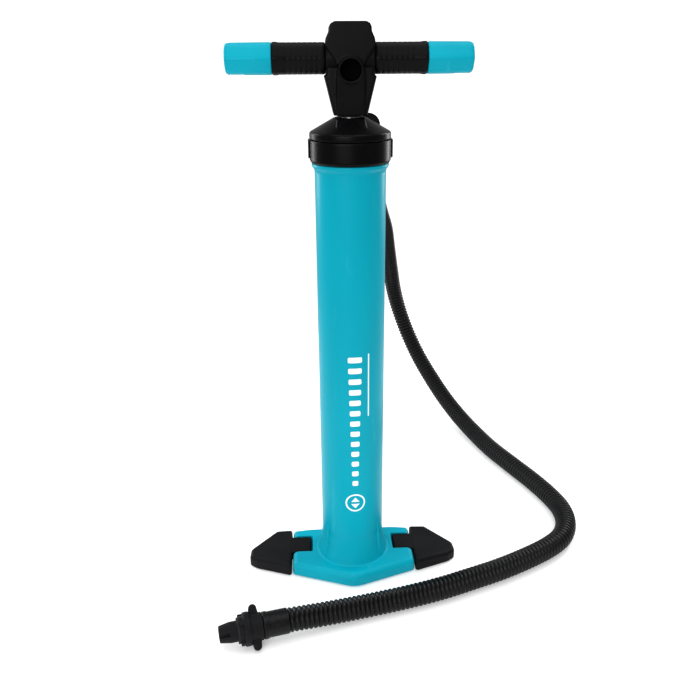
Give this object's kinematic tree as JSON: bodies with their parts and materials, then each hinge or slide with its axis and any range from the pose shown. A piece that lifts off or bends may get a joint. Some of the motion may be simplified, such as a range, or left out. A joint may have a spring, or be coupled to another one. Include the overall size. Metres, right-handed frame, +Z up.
{
  "type": "double action hand pump",
  "caption": "Upright double action hand pump: turquoise barrel on a base with folding feet, black T handle on a sliding rod, ribbed hose with a bayonet nozzle.",
  "frame": {"origin": "on the floor under the barrel's axis", "axes": "+Z up along the barrel, front with the nozzle towards -Y, handle along X"},
  "size_m": [0.4632, 0.6777, 0.634],
  "materials": {
    "turquoise_plastic": "satin moulded plastic",
    "black_plastic": "fine moulded texture",
    "grip_plastic": "ribbed grip",
    "hose_rubber": "satin ribbed hose",
    "seal_rubber": "matte rubber",
    "silicone": "soft silicone",
    "nylon": "natural nylon",
    "rod_aluminium": "drawn and polished",
    "steel": "zinc plated"
  },
  "bodies": {
    "barrel": {"base_plate": "turquoise_plastic", "base_cover": "black_plastic", "base_cover_screws": "steel", "base_soles": "seal_rubber", "barrel_screws": "steel", "hinge_pin_left": "steel", "hinge_pin_right": "steel", "barrel_tube": "turquoise_plastic", "liner_tube": "nylon", "bottom_head": "black_plastic", "bottom_head_seal": "seal_rubber", "check_band_lower": "seal_rubber", "check_band_upper": "seal_rubber", "cap_ring": "black_plastic", "cap_body": "black_plastic", "cap_gasket": "seal_rubber", "rod_bushing": "nylon", "rod_wiper": "seal_rubber", "hose_port": "black_plastic", "hose_nut": "black_plastic", "hose_cuff": "hose_rubber", "hose_tube": "hose_rubber", "nozzle_cuff": "hose_rubber"},
    "foot_left": {"foot_left": "black_plastic", "foot_sole_left": "seal_rubber"},
    "foot_right": {"foot_right": "black_plastic", "foot_sole_right": "seal_rubber"},
    "piston_rings": {"piston_ring_lower": "seal_rubber", "piston_ring_upper": "seal_rubber"},
    "handle": {"handle_shell_front": "black_plastic", "handle_shell_rear": "black_plastic", "handle_screws": "steel", "grip_left": "grip_plastic", "grip_right": "grip_plastic", "end_grip_left": "turquoise_plastic", "end_grip_right": "turquoise_plastic", "rod_tube": "rod_aluminium", "rod_cross_bolt": "steel", "rod_insert": "nylon", "piston": "black_plastic", "piston_bolt": "steel", "piston_bumper": "seal_rubber", "neck_bumper": "seal_rubber"},
    "base_valve": {"inlet_valve_base": "silicone"},
    "cap_valve": {"inlet_valve_cap": "silicone"},
    "nozzle": {"nozzle_body": "black_plastic", "nozzle_gasket": "silicone"}
  },
  "joints": [
    {"name": "handle_stroke", "type": "slide", "parent": "barrel", "child": "piston_rings", "axis": [0, 0, 1], "range_m": [0, 0.4]},
    {"name": "handle_swivel", "type": "hinge", "parent": "piston_rings", "child": "handle", "pos_m": [0, 0, 0.072], "axis": [0, 0, 1], "continuous": true},
    {"name": "foot_left_fold", "type": "hinge", "parent": "barrel", "child": "foot_left", "pos_m": [-0.0605, 0.006, 0.0125], "axis": [0, 1, 0], "range_deg": [0, 90]},
    {"name": "foot_right_fold", "type": "hinge", "parent": "barrel", "child": "foot_right", "pos_m": [0.0605, 0.006, 0.0125], "axis": [0, -1, 0], "range_deg": [0, 90]},
    {"name": "base_valve_lift", "type": "slide", "parent": "barrel", "child": "base_valve", "axis": [0, 0, 1], "range_m": [0, 0.0015]},
    {"name": "cap_valve_lift", "type": "slide", "parent": "barrel", "child": "cap_valve", "axis": [0, 0, 1], "range_m": [0, 0.0018]},
    {"name": "nozzle_turn", "type": "hinge", "parent": "barrel", "child": "nozzle", "pos_m": [-0.079, -0.134, 0.019], "axis": [-0.9724, -0.2334, 0], "range_deg": [0, 90]}
  ]
}
